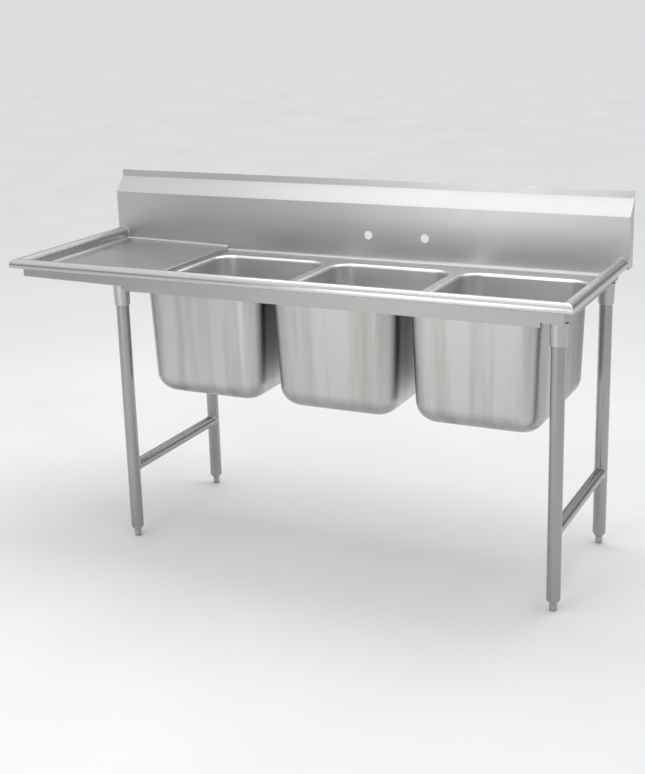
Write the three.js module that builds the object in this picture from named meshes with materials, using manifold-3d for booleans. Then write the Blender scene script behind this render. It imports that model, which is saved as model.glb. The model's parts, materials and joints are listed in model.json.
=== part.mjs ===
// Three compartment sink with a left drainboard.
// Millimetres, +Z up. Every piece is drawn with X = 0 at the left end and Y = 0 at the front edge,
// then moved so that the origin is the middle of the footprint, on the floor.
import * as THREE from "three";
import { mergeVertices } from "three/addons/utils/BufferGeometryUtils.js";
import Module from "manifold-3d";

const wasm = await Module();
wasm.setup();

// Overall sizes
const LENGTH = 1880;
const DEPTH = 686;
const SHEET = 1.6;
const GAP = 0.3;

// Heights above the floor
const RIM_TOP = 930;
const RIM_LIP = 902;
const DECK_TOP = 868;
const SPLASH_FACE_TOP = 1058;
const SPLASH_BEND_TOP = 1110;
const SPLASH_TOP = 1133;
const SPLASH_END_BOTTOM = 894;

// Rolled rim
const ROLL_RADIUS = 20;
const ROLL_WIDTH = 2 * ROLL_RADIUS;
const ROLL_STEPS = 14;
const MITRE_GAP = 0.22;

// Drainboard
const BOARD_RIGHT = 457;
const BOARD_LEFT_TOP = 888;
const BOARD_RIGHT_TOP = 880;
const BOARD_EDGE_CHAMFER = 3;

// Backsplash
const SPLASH_FACE_Y = 638;
const FAUCET_CENTRE_X = 1104;
const FAUCET_SPACING = 203.2;
const FAUCET_HOLE_RADIUS = 14.3;
const FAUCET_HOLE_Z = 953;

// Skirts below the rims
const SKIRT_INSET = 32;
const SKIRT_TOP = 905;
const SKIRT_DEEP = 850;
const SKIRT_SHALLOW = 863;
const SKIRT_LEFT_BOTTOM = 871;
const SKIRT_BOARD_END = 865;
const SKIRT_DEEP_START = 420;
const SKIRT_DEEP_END = 1781;

// Bowls, measured inside the walls just below the lip
const BOWL_WIDTH = 406;
const BOWL_LENGTH = 508;
const BOWL_FRONT_Y = 54;
const BOWL_LEFT_X = 478;
const BOWL_PITCH = 449;
const BOWL_FLOOR = 512.4;
const BOWL_LIP_RADIUS = 10;
const BOWL_TAPER = 8;
const BOWL_BOTTOM_RADIUS = 64;
const BOWL_CORNER_RADIUS = 62;
const BOWL_FLANGE = 7;
const CORNER_STEPS = 7;
const BOWL_SIDES = ["left", "middle", "right"];

// Drains
const DRAIN_HOLE_RADIUS = 44.5;
const DRAIN_STEPS = 24;

// Legs, sockets, rails and feet
const LEG_RADIUS = 20.64;
const LEG_WALL = 1.65;
const LEG_BOTTOM = 38.3;
const LEG_STEPS = 24;
const LEG_LEFT_X = 395;
const LEG_RIGHT_X = 1826;
const LEG_FRONT_Y = 60.3;
const LEG_REAR_Y = 582;
const SOCKET_BOTTOM = 797;
const SOCKET_ROOF = 4;
const SOCKET_TOP_LEFT = 865.7;
const SOCKET_TOP_RIGHT = 862.8;
const SOCKET_BORE_RADIUS = 21;
const SET_SCREW_Z = 822;
const SET_SCREW_RADIUS = 3.9;
const RAIL_RADIUS = 19.05;
const RAIL_Z = 245;
const CHANNEL_WEB_Z = 866;
const CHANNEL_LEFT_X = 350;
const CHANNEL_RIGHT_X = 440;
const STUD_RADIUS = 8;

const LEGS = [
  { corner: "front_left", x: LEG_LEFT_X, y: LEG_FRONT_Y, top: SOCKET_TOP_LEFT },
  { corner: "front_right", x: LEG_RIGHT_X, y: LEG_FRONT_Y, top: SOCKET_TOP_RIGHT },
  { corner: "rear_left", x: LEG_LEFT_X, y: LEG_REAR_Y, top: SOCKET_TOP_LEFT },
  { corner: "rear_right", x: LEG_RIGHT_X, y: LEG_REAR_Y, top: SOCKET_TOP_RIGHT },
];

const X_AXIS = new THREE.Vector3(1, 0, 0);
const Y_AXIS = new THREE.Vector3(0, 1, 0);
const Z_AXIS = new THREE.Vector3(0, 0, 1);

// ---------- solids ----------

function signedVolume(geometry) {
  const position = geometry.getAttribute("position");
  const index = geometry.getIndex();
  const a = new THREE.Vector3();
  const b = new THREE.Vector3();
  const c = new THREE.Vector3();
  let total = 0;
  for (let i = 0; i < index.count; i += 3) {
    a.fromBufferAttribute(position, index.getX(i));
    b.fromBufferAttribute(position, index.getX(i + 1));
    c.fromBufferAttribute(position, index.getX(i + 2));
    total += a.dot(b.cross(c)) / 6;
  }
  return total;
}

function toSolid(source) {
  const bare = source.clone();
  bare.deleteAttribute("normal");
  bare.deleteAttribute("uv");
  const merged = mergeVertices(bare, 1e-4);
  const triangles = Uint32Array.from(merged.getIndex().array);
  if (signedVolume(merged) < 0) {
    for (let i = 0; i < triangles.length; i += 3) {
      const swap = triangles[i];
      triangles[i] = triangles[i + 1];
      triangles[i + 1] = swap;
    }
  }
  const vertices = Float32Array.from(merged.getAttribute("position").array);
  return new wasm.Manifold(new wasm.Mesh({ numProp: 3, vertProperties: vertices, triVerts: triangles }));
}

function toGeometry(solid) {
  const mesh = solid.getMesh();
  const geometry = new THREE.BufferGeometry();
  geometry.setAttribute("position", new THREE.BufferAttribute(mesh.vertProperties, 3));
  geometry.setIndex(new THREE.BufferAttribute(mesh.triVerts, 1));
  return geometry;
}

function cut(base, tools) {
  let solid = toSolid(base);
  for (const tool of tools) {
    solid = solid.subtract(toSolid(tool));
  }
  return toGeometry(solid);
}

function join(pieces) {
  let solid = toSolid(pieces[0]);
  for (const piece of pieces.slice(1)) {
    solid = solid.add(toSolid(piece));
  }
  return toGeometry(solid);
}

// ---------- simple shapes ----------

function box(x0, x1, y0, y1, z0, z1) {
  const geometry = new THREE.BoxGeometry(x1 - x0, y1 - y0, z1 - z0);
  return geometry.translate((x0 + x1) / 2, (y0 + y1) / 2, (z0 + z1) / 2);
}

function polygon(points) {
  return new THREE.Shape(points.map(([x, y]) => new THREE.Vector2(x, y)));
}

function extrude(shape, depth) {
  return new THREE.ExtrudeGeometry(shape, { depth, bevelEnabled: false, curveSegments: CORNER_STEPS });
}

// Points are [y, z]; the solid runs from x0 to x1.
function extrudeAlongX(points, x0, x1) {
  const geometry = extrude(polygon(points), x1 - x0);
  geometry.applyMatrix4(new THREE.Matrix4().makeBasis(Y_AXIS, Z_AXIS, X_AXIS));
  return geometry.translate(x0, 0, 0);
}

// Points are [x, z]; the solid runs from y0 to y1.
function extrudeAlongY(points, y0, y1) {
  const geometry = extrude(polygon(points), y1 - y0);
  geometry.applyMatrix4(new THREE.Matrix4().makeBasis(X_AXIS, Z_AXIS, Y_AXIS.clone().negate()));
  return geometry.translate(0, y1, 0);
}

// Points are [radius, z]; a profile off the axis is closed on itself.
function turn(points, steps) {
  const profile = points.map(([radius, z]) => new THREE.Vector2(radius, z));
  if (points[0][0] > 0) {
    profile.push(profile[0].clone());
  }
  return new THREE.LatheGeometry(profile, steps).rotateX(Math.PI / 2);
}

function ring(inner, outer, z0, z1, steps) {
  return turn([[inner, z0], [outer, z0], [outer, z1], [inner, z1]], steps);
}

function rod(radius, z0, z1, steps) {
  return turn([[0, z0], [radius, z0], [radius, z1], [0, z1]], steps);
}

function rodAlongY(radius, y0, y1, steps) {
  return rod(radius, 0, y1 - y0, steps).rotateX(-Math.PI / 2).translate(0, y0, 0);
}

function roundedRectangle(x0, x1, y0, y1, radius) {
  const shape = new THREE.Path();
  shape.moveTo(x0 + radius, y0);
  shape.lineTo(x1 - radius, y0);
  shape.absarc(x1 - radius, y0 + radius, radius, -Math.PI / 2, 0);
  shape.lineTo(x1, y1 - radius);
  shape.absarc(x1 - radius, y1 - radius, radius, 0, Math.PI / 2);
  shape.lineTo(x0 + radius, y1);
  shape.absarc(x0 + radius, y1 - radius, radius, Math.PI / 2, Math.PI);
  shape.lineTo(x0, y0 + radius);
  shape.absarc(x0 + radius, y0 + radius, radius, Math.PI, 1.5 * Math.PI);
  return shape;
}

// ---------- rolled rims ----------

function boardTop(x) {
  const slope = (BOARD_LEFT_TOP - BOARD_RIGHT_TOP) / (BOARD_RIGHT - ROLL_WIDTH);
  return BOARD_LEFT_TOP - (x - ROLL_WIDTH) * slope;
}

// Cross-section of the roll: first coordinate runs inwards from the outer edge, second is the height.
function rollProfile(wallBottom) {
  const springZ = RIM_TOP - ROLL_RADIUS;
  const points = [[0, RIM_LIP]];
  for (let i = 0; i <= ROLL_STEPS; i += 1) {
    const angle = Math.PI * (1 - i / ROLL_STEPS);
    points.push([ROLL_RADIUS + ROLL_RADIUS * Math.cos(angle), springZ + ROLL_RADIUS * Math.sin(angle)]);
  }
  points.push([ROLL_WIDTH, wallBottom]);
  points.push([ROLL_WIDTH - SHEET, wallBottom]);
  const inner = ROLL_RADIUS - SHEET;
  for (let i = ROLL_STEPS; i >= 0; i -= 1) {
    const angle = Math.PI * (1 - i / ROLL_STEPS);
    points.push([ROLL_RADIUS + inner * Math.cos(angle), springZ + inner * Math.sin(angle)]);
  }
  points.push([SHEET, RIM_LIP]);
  return points;
}

// Straight roll whose ends are mitred: each mitred end is cut back by the distance from the outer edge.
function roll(wallBottom, length, mitreStart, mitreEnd) {
  const geometry = extrude(polygon(rollProfile(wallBottom)), length);
  const position = geometry.getAttribute("position");
  for (let i = 0; i < position.count; i += 1) {
    const inwards = position.getX(i);
    const along = position.getZ(i);
    if (along < 0.5 && mitreStart) {
      position.setZ(i, inwards + MITRE_GAP);
    }
    if (along > length - 0.5 && mitreEnd) {
      position.setZ(i, length - inwards - MITRE_GAP);
    }
  }
  return geometry;
}

function frontRim() {
  const geometry = roll(DECK_TOP - SHEET, LENGTH, true, true);
  geometry.applyMatrix4(new THREE.Matrix4().makeBasis(Y_AXIS, Z_AXIS, X_AXIS));
  const belowBoard = extrudeAlongY(
    [
      [-1, DECK_TOP - 20],
      [BOARD_RIGHT, DECK_TOP - 20],
      [BOARD_RIGHT, boardTop(BOARD_RIGHT) - SHEET],
      [-1, boardTop(-1) - SHEET],
    ],
    ROLL_WIDTH - 4,
    ROLL_WIDTH + 4,
  );
  return cut(geometry, [belowBoard]);
}

function leftRim() {
  const length = SPLASH_FACE_Y - GAP;
  const geometry = roll(BOARD_LEFT_TOP - SHEET, length, false, true);
  geometry.applyMatrix4(new THREE.Matrix4().makeBasis(X_AXIS, Z_AXIS, Y_AXIS.clone().negate()));
  return geometry.translate(0, length, 0);
}

function rightRim() {
  const length = SPLASH_FACE_Y - GAP;
  const geometry = roll(DECK_TOP - SHEET, length, true, false);
  geometry.applyMatrix4(new THREE.Matrix4().makeBasis(X_AXIS.clone().negate(), Z_AXIS, Y_AXIS));
  return geometry.translate(LENGTH, 0, 0);
}

// ---------- flat sheets ----------

function bowlLeft(i) {
  return BOWL_LEFT_X + i * BOWL_PITCH;
}

function bowlCentre(i) {
  return { x: bowlLeft(i) + BOWL_WIDTH / 2, y: BOWL_FRONT_Y + BOWL_LENGTH / 2 };
}

function deckPlate() {
  const x0 = BOARD_RIGHT + GAP;
  const x1 = LENGTH - ROLL_WIDTH - GAP;
  const y0 = ROLL_WIDTH + GAP;
  const y1 = SPLASH_FACE_Y - GAP;
  const shape = polygon([[x0, y0], [x1, y0], [x1, y1], [x0, y1]]);
  BOWL_SIDES.forEach((side, i) => {
    const left = bowlLeft(i) - BOWL_LIP_RADIUS;
    const right = bowlLeft(i) + BOWL_WIDTH + BOWL_LIP_RADIUS;
    const front = BOWL_FRONT_Y - BOWL_LIP_RADIUS;
    const rear = BOWL_FRONT_Y + BOWL_LENGTH + BOWL_LIP_RADIUS;
    shape.holes.push(roundedRectangle(left, right, front, rear, BOWL_CORNER_RADIUS + BOWL_LIP_RADIUS));
  });
  return extrude(shape, SHEET).translate(0, 0, DECK_TOP - SHEET);
}

function drainboard() {
  const x0 = ROLL_WIDTH + GAP;
  const corner = BOARD_RIGHT - BOARD_EDGE_CHAMFER;
  return extrudeAlongY(
    [
      [x0, boardTop(x0)],
      [x0, boardTop(x0) - SHEET],
      [corner - 1, boardTop(corner - 1) - SHEET],
      [BOARD_RIGHT - SHEET, BOARD_RIGHT_TOP - BOARD_EDGE_CHAMFER - 0.6],
      [BOARD_RIGHT - SHEET, DECK_TOP - SHEET],
      [BOARD_RIGHT, DECK_TOP - SHEET],
      [BOARD_RIGHT, BOARD_RIGHT_TOP - BOARD_EDGE_CHAMFER],
      [corner, boardTop(corner)],
    ],
    ROLL_WIDTH + GAP,
    SPLASH_FACE_Y - GAP,
  );
}

function backsplash() {
  const face = SPLASH_FACE_Y;
  const sheet = extrudeAlongX(
    [
      [face, DECK_TOP - SHEET],
      [face + SHEET, DECK_TOP - SHEET],
      [face + SHEET, SPLASH_FACE_TOP - 0.6],
      [DEPTH, SPLASH_BEND_TOP - 0.6],
      [DEPTH, SPLASH_TOP],
      [DEPTH - SHEET, SPLASH_TOP],
      [DEPTH - SHEET, SPLASH_BEND_TOP],
      [face, SPLASH_FACE_TOP],
    ],
    0,
    LENGTH,
  );
  const tools = [
    box(-1, ROLL_WIDTH - 2, face - 2, face + 4, DECK_TOP - 10, SPLASH_END_BOTTOM),
    box(LENGTH - ROLL_WIDTH + 2, LENGTH + 1, face - 2, face + 4, DECK_TOP - 10, SPLASH_END_BOTTOM),
  ];
  for (const side of [-1, 1]) {
    const hole = rodAlongY(FAUCET_HOLE_RADIUS, face - 3, face + 5, LEG_STEPS);
    tools.push(hole.translate(FAUCET_CENTRE_X + (side * FAUCET_SPACING) / 2, 0, FAUCET_HOLE_Z));
  }
  return cut(sheet, tools);
}

function splashCap(x0) {
  const front = SPLASH_FACE_Y + SHEET + GAP;
  return extrudeAlongX(
    [
      [front, SPLASH_END_BOTTOM],
      [DEPTH, SPLASH_END_BOTTOM],
      [DEPTH, SPLASH_BEND_TOP - 1.2],
      [front, SPLASH_FACE_TOP - 0.9],
    ],
    x0,
    x0 + SHEET,
  );
}

// ---------- skirts ----------

// L section: a hanging face and a short flange back to the wall of the roll.
function skirtProfile(bottom) {
  const flangeEnd = ROLL_WIDTH - SHEET - GAP;
  return [
    [SKIRT_INSET, bottom],
    [SKIRT_INSET + SHEET, bottom],
    [SKIRT_INSET + SHEET, SKIRT_TOP - SHEET],
    [flangeEnd, SKIRT_TOP - SHEET],
    [flangeEnd, SKIRT_TOP],
    [SKIRT_INSET, SKIRT_TOP],
  ];
}

function frontSkirt() {
  const x0 = SKIRT_INSET;
  const x1 = LENGTH - SKIRT_INSET;
  const sheet = extrudeAlongX(skirtProfile(SKIRT_DEEP), x0, x1);
  const y0 = SKIRT_INSET - 2;
  const y1 = ROLL_WIDTH + 2;
  const underBoard = extrudeAlongY(
    [
      [x0 - 1, SKIRT_DEEP - 1],
      [SKIRT_DEEP_START, SKIRT_DEEP - 1],
      [SKIRT_DEEP_START, SKIRT_BOARD_END],
      [x0 - 1, SKIRT_LEFT_BOTTOM],
    ],
    y0,
    y1,
  );
  const flangeFront = SKIRT_INSET + SHEET;
  return cut(sheet, [
    underBoard,
    box(SKIRT_DEEP_END, x1 + 1, y0, y1, SKIRT_DEEP - 1, SKIRT_SHALLOW),
    box(x0 - 1, ROLL_WIDTH, flangeFront, y1, SKIRT_TOP - 3, SKIRT_TOP + 1),
    box(LENGTH - ROLL_WIDTH, x1 + 1, flangeFront, y1, SKIRT_TOP - 3, SKIRT_TOP + 1),
  ]);
}

function leftSkirt() {
  const y0 = SKIRT_INSET + SHEET + GAP;
  return extrudeAlongY(skirtProfile(SKIRT_LEFT_BOTTOM), y0, SPLASH_FACE_Y - GAP);
}

function rightSkirt() {
  const mirrored = skirtProfile(SKIRT_SHALLOW).map(([inwards, z]) => [LENGTH - inwards, z]);
  const y0 = SKIRT_INSET + SHEET + GAP;
  return extrudeAlongY(mirrored.reverse(), y0, SPLASH_FACE_Y - GAP);
}

// ---------- bowls ----------

function cornerPoints(halfX, halfY, radius) {
  const points = [];
  const centres = [[1, 1, 0], [-1, 1, 0.5], [-1, -1, 1], [1, -1, 1.5]];
  for (const [sx, sy, start] of centres) {
    for (let i = 0; i <= CORNER_STEPS; i += 1) {
      const angle = Math.PI * (start + (0.5 * i) / CORNER_STEPS);
      const x = sx * (halfX - radius) + radius * Math.cos(angle);
      const y = sy * (halfY - radius) + radius * Math.sin(angle);
      points.push([x, y]);
    }
  }
  return points;
}

// One wall of the bowl as levels of [distance in from the top of the wall, height], from flange to floor.
function bowlLevels(offset) {
  const levels = [];
  const lipZ = DECK_TOP - SHEET - GAP - BOWL_LIP_RADIUS;
  const lip = BOWL_LIP_RADIUS - offset;
  for (let i = 0; i <= 3; i += 1) {
    const angle = (Math.PI / 2) * (i / 3);
    levels.push([lip * Math.sin(angle) - BOWL_LIP_RADIUS, lipZ + lip * Math.cos(angle)]);
  }
  const bendInset = BOWL_TAPER + BOWL_BOTTOM_RADIUS;
  const bendZ = BOWL_FLOOR + BOWL_BOTTOM_RADIUS;
  const bend = BOWL_BOTTOM_RADIUS + offset;
  for (let i = 0; i <= 5; i += 1) {
    const angle = (Math.PI / 2) * (i / 5);
    levels.push([bendInset - bend * Math.cos(angle), bendZ - bend * Math.sin(angle)]);
  }
  return levels;
}

// Plan radius of the corner at a given distance in from the top of the wall.
function planRadius(inset) {
  if (inset < 0) {
    return BOWL_CORNER_RADIUS - inset;
  }
  if (inset < BOWL_TAPER) {
    return BOWL_CORNER_RADIUS;
  }
  return BOWL_CORNER_RADIUS - (inset - BOWL_TAPER) * 0.75;
}

function loft(levels) {
  const positions = [];
  const indices = [];
  for (const [inset, z] of levels) {
    const outline = cornerPoints(BOWL_WIDTH / 2 - inset, BOWL_LENGTH / 2 - inset, planRadius(inset));
    for (const [x, y] of outline) {
      positions.push(x, y, z);
    }
  }
  const count = 4 * (CORNER_STEPS + 1);
  for (let level = 0; level < levels.length - 1; level += 1) {
    for (let i = 0; i < count; i += 1) {
      const a = level * count + i;
      const b = level * count + ((i + 1) % count);
      indices.push(a, b, b + count, a, b + count, a + count);
    }
  }
  const first = positions.length / 3;
  positions.push(0, 0, levels[0][1]);
  positions.push(0, 0, levels[levels.length - 1][1]);
  const last = (levels.length - 1) * count;
  for (let i = 0; i < count; i += 1) {
    const next = (i + 1) % count;
    indices.push(first, next, i);
    indices.push(first + 1, last + i, last + next);
  }
  const geometry = new THREE.BufferGeometry();
  geometry.setAttribute("position", new THREE.Float32BufferAttribute(positions, 3));
  geometry.setIndex(indices);
  return geometry;
}

function bowl(i) {
  const inside = bowlLevels(0);
  const outside = bowlLevels(SHEET).reverse();
  const flangeTop = DECK_TOP - SHEET - GAP;
  const flangeEdge = -BOWL_LIP_RADIUS - BOWL_FLANGE;
  const flange = [[flangeEdge, flangeTop - SHEET], [flangeEdge, flangeTop]];
  const shell = loft([...outside, ...flange, ...inside]);
  const hole = rod(DRAIN_HOLE_RADIUS, BOWL_FLOOR - 10, BOWL_FLOOR + 10, DRAIN_STEPS);
  const centre = bowlCentre(i);
  return cut(shell, [hole]).translate(centre.x, centre.y, 0);
}

// ---------- drains ----------

function drainBody() {
  return turn(
    [
      [43.6, 512.7],
      [56.2, 512.7],
      [57, 513.6],
      [55.5, 515],
      [46, 515.4],
      [43.6, 514],
      [41, 510.8],
      [41, 479],
      [38, 475],
      [20, 471.5],
      [20, 460],
      [24, 460],
      [24, 468.3],
      [40.5, 472.3],
      [43.6, 477],
    ],
    DRAIN_STEPS,
  );
}

function drainGasket() {
  return ring(43.9, 56, 507.4, 510.5, DRAIN_STEPS);
}

function drainLocknut() {
  const pieces = [ring(43.9, 53, 496.8, 507.1, DRAIN_STEPS)];
  for (let i = 0; i < 6; i += 1) {
    pieces.push(box(51, 57, -5, 5, 497.8, 506.3).rotateZ((i * Math.PI) / 3));
  }
  return join(pieces);
}

function strainer() {
  const basket = turn(
    [
      [0, 478.8],
      [35, 478.8],
      [38, 481.8],
      [38, 509.3],
      [41.6, 512.1],
      [41.6, 513.3],
      [36.6, 510],
      [36.6, 482.4],
      [34.4, 480.2],
      [3, 480.2],
      [3, 511.8],
      [8, 514.8],
      [8, 519.8],
      [5, 522.8],
      [0, 522.8],
    ],
    DRAIN_STEPS,
  );
  const tools = [];
  for (let i = 0; i < 8; i += 1) {
    const angle = (i * Math.PI) / 4;
    tools.push(box(34, 42, -2.2, 2.2, 487.8, 503.8).rotateZ(angle));
    const hole = rod(3.2, 474.8, 484.8, 8);
    tools.push(hole.translate(22 * Math.cos(angle), 22 * Math.sin(angle), 0));
  }
  return cut(basket, tools);
}

// ---------- under structure ----------

function drainboardChannel() {
  const web = 2;
  const x0 = CHANNEL_LEFT_X;
  const x1 = CHANNEL_RIGHT_X;
  const under = (x) => boardTop(x) - SHEET - GAP;
  return extrudeAlongY(
    [
      [x0, CHANNEL_WEB_Z],
      [x1, CHANNEL_WEB_Z],
      [x1, under(x1)],
      [x1 - web, under(x1)],
      [x1 - web, CHANNEL_WEB_Z + web],
      [x0 + web, CHANNEL_WEB_Z + web],
      [x0 + web, under(x0 + web)],
      [x0, under(x0 + web)],
    ],
    36,
    SPLASH_FACE_Y - 1,
  );
}

function socketPlate(y) {
  const top = DECK_TOP - SHEET - GAP;
  return box(1798, 1846, y - 26.2, y + 30, top - 3, top);
}

function legSocket(leg) {
  const sleeve = turn(
    [
      [0, leg.top - SOCKET_ROOF],
      [SOCKET_BORE_RADIUS, leg.top - SOCKET_ROOF],
      [SOCKET_BORE_RADIUS, SOCKET_BOTTOM],
      [22.4, SOCKET_BOTTOM],
      [23.7, SOCKET_BOTTOM + 2],
      [24.2, SOCKET_BOTTOM + 5],
      [26, leg.top],
      [0, leg.top],
    ],
    LEG_STEPS,
  );
  const hole = rodAlongY(SET_SCREW_RADIUS + GAP, 15, 40, 12);
  return cut(sleeve, [hole.translate(0, 0, SET_SCREW_Z)]).translate(leg.x, leg.y, 0);
}

function setScrew(leg) {
  const body = rod(SET_SCREW_RADIUS, 0, 8, 12);
  const recess = rod(2.3, 4.5, 10, 6);
  const screw = cut(body, [recess]).rotateX(-Math.PI / 2);
  return screw.translate(leg.x, leg.y + LEG_RADIUS + GAP, SET_SCREW_Z);
}

function legTube(leg) {
  const top = leg.top - SOCKET_ROOF - GAP;
  const tube = ring(LEG_RADIUS - LEG_WALL, LEG_RADIUS, LEG_BOTTOM, top, LEG_STEPS);
  return tube.translate(leg.x, leg.y, 0);
}

function sideRail(x) {
  const outside = rodAlongY(RAIL_RADIUS, LEG_FRONT_Y, LEG_REAR_Y, LEG_STEPS).translate(x, 0, RAIL_Z);
  const inside = rodAlongY(RAIL_RADIUS - LEG_WALL, 0, DEPTH, LEG_STEPS).translate(x, 0, RAIL_Z);
  const cope = rod(LEG_RADIUS + GAP, RAIL_Z - 40, RAIL_Z + 40, LEG_STEPS);
  return cut(outside, [
    inside,
    cope.clone().translate(x, LEG_FRONT_Y, 0),
    cope.clone().translate(x, LEG_REAR_Y, 0),
  ]);
}

function footCollar(leg) {
  const bore = STUD_RADIUS + GAP;
  const collar = turn(
    [
      [bore, 24],
      [13, 24],
      [17.6, 30.5],
      [LEG_RADIUS, 38],
      [18.6, 38],
      [18.6, 72],
      [bore, 72],
    ],
    LEG_STEPS,
  );
  return collar.translate(leg.x, leg.y, 0);
}

function foot(leg) {
  const sole = turn([[0, 0], [11.1, 0], [11.6, 1], [11.6, 3], [10.2, 5], [0, 5]], LEG_STEPS);
  const hexagon = rod(11.4, 3, 23.7, 6);
  const stud = rod(STUD_RADIUS, 20, 66, 16);
  return join([sole, hexagon, stud]).translate(leg.x, leg.y, 0);
}

// ---------- assembly ----------

const sink = new THREE.Group();
sink.name = "three_compartment_sink";

function material(color, roughness, metalness) {
  return () => new THREE.MeshStandardMaterial({ color, roughness, metalness });
}

const satinSteel = material(0xc4c6c8, 0.35, 1);
const polishedSteel = material(0xd4d6d8, 0.2, 1);
const darkSteel = material(0x6c6f73, 0.45, 1);
const blackRubber = material(0x1c1c1e, 0.85, 0);

function add(name, geometry, makeMaterial) {
  const moved = geometry.translate(-LENGTH / 2, -DEPTH / 2, 0);
  moved.computeVertexNormals();
  const mesh = new THREE.Mesh(moved, makeMaterial());
  mesh.name = name;
  sink.add(mesh);
}

add("deck_plate", deckPlate(), satinSteel);
add("drainboard", drainboard(), satinSteel);
add("rim_front", frontRim(), satinSteel);
add("rim_left", leftRim(), satinSteel);
add("rim_right", rightRim(), satinSteel);
add("skirt_front", frontSkirt(), satinSteel);
add("skirt_left", leftSkirt(), satinSteel);
add("skirt_right", rightSkirt(), satinSteel);
add("backsplash", backsplash(), satinSteel);
add("splash_cap_left", splashCap(0), satinSteel);
add("splash_cap_right", splashCap(LENGTH - SHEET), satinSteel);

BOWL_SIDES.forEach((side, i) => {
  const { x, y } = bowlCentre(i);
  add(`bowl_${side}`, bowl(i), satinSteel);
  add(`drain_body_${side}`, drainBody().translate(x, y, 0), polishedSteel);
  add(`drain_gasket_${side}`, drainGasket().translate(x, y, 0), blackRubber);
  add(`drain_locknut_${side}`, drainLocknut().translate(x, y, 0), polishedSteel);
  add(`strainer_${side}`, strainer().translate(x, y, 0), polishedSteel);
});

add("drainboard_channel", drainboardChannel(), satinSteel);
add("socket_plate_front_right", socketPlate(LEG_FRONT_Y), satinSteel);
add("socket_plate_rear_right", socketPlate(LEG_REAR_Y), satinSteel);

for (const leg of LEGS) {
  add(`leg_socket_${leg.corner}`, legSocket(leg), satinSteel);
  add(`set_screw_${leg.corner}`, setScrew(leg), darkSteel);
  add(`leg_${leg.corner}`, legTube(leg), satinSteel);
  add(`foot_collar_${leg.corner}`, footCollar(leg), satinSteel);
  add(`foot_${leg.corner}`, foot(leg), satinSteel);
}

add("side_rail_left", sideRail(LEG_LEFT_X), satinSteel);
add("side_rail_right", sideRail(LEG_RIGHT_X), satinSteel);

export default sink;
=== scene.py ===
import math

import bmesh
import bpy
from mathutils import Matrix, Vector, noise
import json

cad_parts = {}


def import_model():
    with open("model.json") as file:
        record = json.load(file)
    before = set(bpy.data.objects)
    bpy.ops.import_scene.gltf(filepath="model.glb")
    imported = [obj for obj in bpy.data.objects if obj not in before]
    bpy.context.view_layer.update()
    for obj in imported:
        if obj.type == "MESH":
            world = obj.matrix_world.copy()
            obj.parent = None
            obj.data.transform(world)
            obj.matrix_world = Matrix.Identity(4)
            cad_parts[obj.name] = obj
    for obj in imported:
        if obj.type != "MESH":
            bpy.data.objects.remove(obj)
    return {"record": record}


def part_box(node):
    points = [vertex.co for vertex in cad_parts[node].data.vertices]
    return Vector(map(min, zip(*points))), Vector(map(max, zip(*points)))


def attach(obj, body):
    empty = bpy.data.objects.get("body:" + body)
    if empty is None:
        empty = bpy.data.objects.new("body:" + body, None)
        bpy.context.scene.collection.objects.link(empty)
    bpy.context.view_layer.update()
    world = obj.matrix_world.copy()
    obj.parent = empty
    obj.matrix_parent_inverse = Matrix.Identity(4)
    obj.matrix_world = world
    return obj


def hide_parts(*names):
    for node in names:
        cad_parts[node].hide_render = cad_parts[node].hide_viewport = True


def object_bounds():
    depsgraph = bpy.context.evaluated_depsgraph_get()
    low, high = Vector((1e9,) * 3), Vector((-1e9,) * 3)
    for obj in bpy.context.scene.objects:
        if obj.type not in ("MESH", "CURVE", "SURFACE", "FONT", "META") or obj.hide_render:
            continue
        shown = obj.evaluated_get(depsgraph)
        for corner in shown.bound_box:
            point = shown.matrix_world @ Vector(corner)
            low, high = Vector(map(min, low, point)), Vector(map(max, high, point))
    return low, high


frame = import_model()
cad_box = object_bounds()

# Lengths below are in millimetres. Drawing coordinates run from the left end (x), the front edge (y)
# and the floor (z); place() turns them into the frame's metres.
MM = 0.001
ORIGIN = Vector((cad_box[0].x, cad_box[0].y, 0.0))


def place(x, y, z):
    return ORIGIN + Vector((x, y, z)) * MM


def drawing_box(node):
    """x0, x1, y0, y1, z0, z1 of a CAD node in drawing coordinates."""
    low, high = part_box(node)
    low = (low - ORIGIN) / MM
    high = (high - ORIGIN) / MM
    return low.x, high.x, low.y, high.y, low.z, high.z


SHEET = 1.6
LENGTH = (cad_box[1].x - cad_box[0].x) / MM
DEPTH = (cad_box[1].y - cad_box[0].y) / MM
GAP = 0.3
RIM_TOP = drawing_box("rim_left")[5]
RIM_LIP = 902.0
ROLL_RADIUS = 20.0
ROLL_WIDTH = 2 * ROLL_RADIUS
DECK_X0 = drawing_box("deck_plate")[0]
DECK_TOP = drawing_box("deck_plate")[5]
BOARD_RIGHT = drawing_box("drainboard")[1]
BOARD_LEFT_TOP = drawing_box("drainboard")[5]
BOARD_RIGHT_TOP = 880.0
SPLASH_Y = drawing_box("backsplash")[2]
SPLASH_TOP = drawing_box("backsplash")[5]
SPLASH_FACE_TOP = 1058.0
SPLASH_BEND_TOP = 1110.0
SPLASH_END_BOTTOM = drawing_box("splash_cap_left")[4]
SKIRT_INSET = drawing_box("skirt_front")[2]
SKIRT_TOP = drawing_box("skirt_front")[5]
SIDES = ["left", "middle", "right"]
CORNERS = ["front_left", "front_right", "rear_left", "rear_right"]


def centre(node):
    x0, x1, y0, y1, _, _ = drawing_box(node)
    return (x0 + x1) / 2, (y0 + y1) / 2


def bowl_place(side):
    return centre(f"bowl_{side}")


# ---------- mesh helpers ----------

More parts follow.
